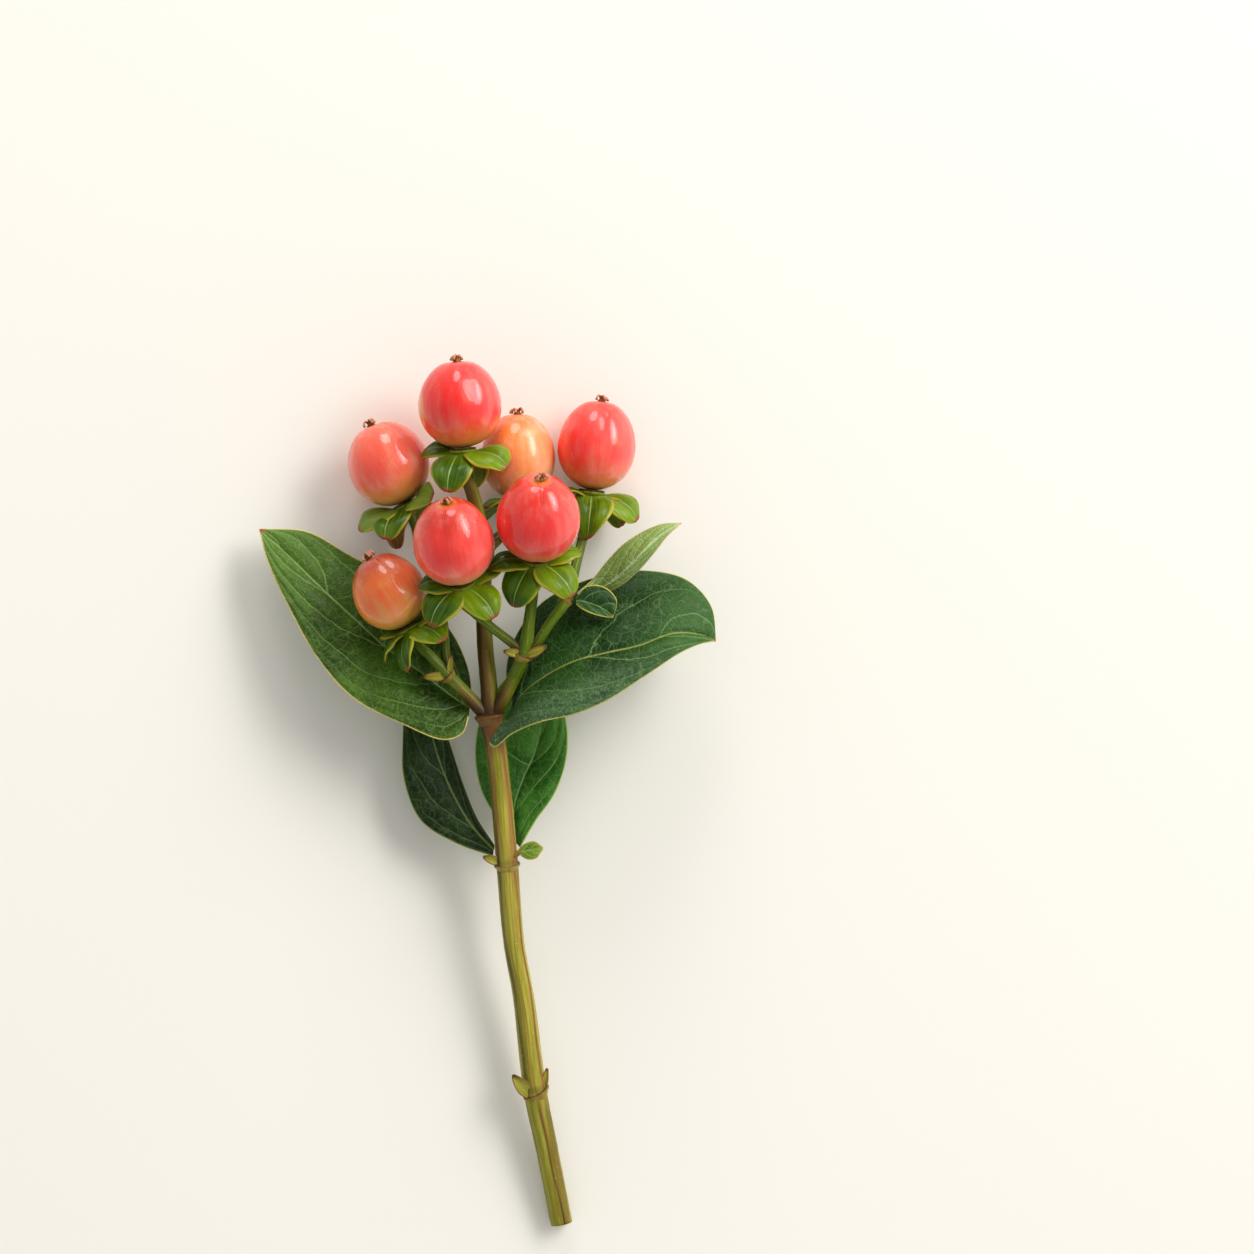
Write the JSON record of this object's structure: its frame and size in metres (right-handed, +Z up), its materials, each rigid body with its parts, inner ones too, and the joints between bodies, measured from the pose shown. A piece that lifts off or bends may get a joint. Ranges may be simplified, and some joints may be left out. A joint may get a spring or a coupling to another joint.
{
  "type": "hypericum berry stem",
  "caption": "Cut stem with opposite oval leaves that forks into stalks, each ending in a glossy oval red berry with green sepals; it lies flat on a surface.",
  "frame": {"origin": "middle of the stem's outline in plan, on the surface it lies on", "axes": "+X across the stem, +Y along the stem from the cut end towards the berries, +Z up from the surface"},
  "size_m": [0.0734, 0.1404, 0.0281],
  "materials": {
    "bark": "satin",
    "leaf": "satin",
    "sepal": "satin",
    "dried_style": "matte",
    "berry_red": "glossy",
    "berry_salmon": "glossy",
    "berry_orange": "glossy"
  },
  "bodies": {
    "root": {"stem": "bark", "leaf_left_upper": "leaf", "leaf_right_upper": "leaf", "leaf_right_lower": "leaf", "leaf_left_lower": "leaf", "leaf_small_front": "leaf", "leaf_small_back": "leaf", "leaf_small_side": "leaf", "berry_1": "berry_red", "calyx_1": "sepal", "crown_1": "dried_style", "berry_2": "berry_salmon", "calyx_2": "sepal", "crown_2": "dried_style", "berry_3": "berry_orange", "calyx_3": "sepal", "crown_3": "dried_style", "berry_4": "berry_red", "calyx_4": "sepal", "crown_4": "dried_style", "berry_5": "berry_red", "calyx_5": "sepal", "crown_5": "dried_style", "berry_6": "berry_red", "calyx_6": "sepal", "crown_6": "dried_style", "berry_7": "berry_salmon", "calyx_7": "sepal", "crown_7": "dried_style"}
  },
  "joints": []
}
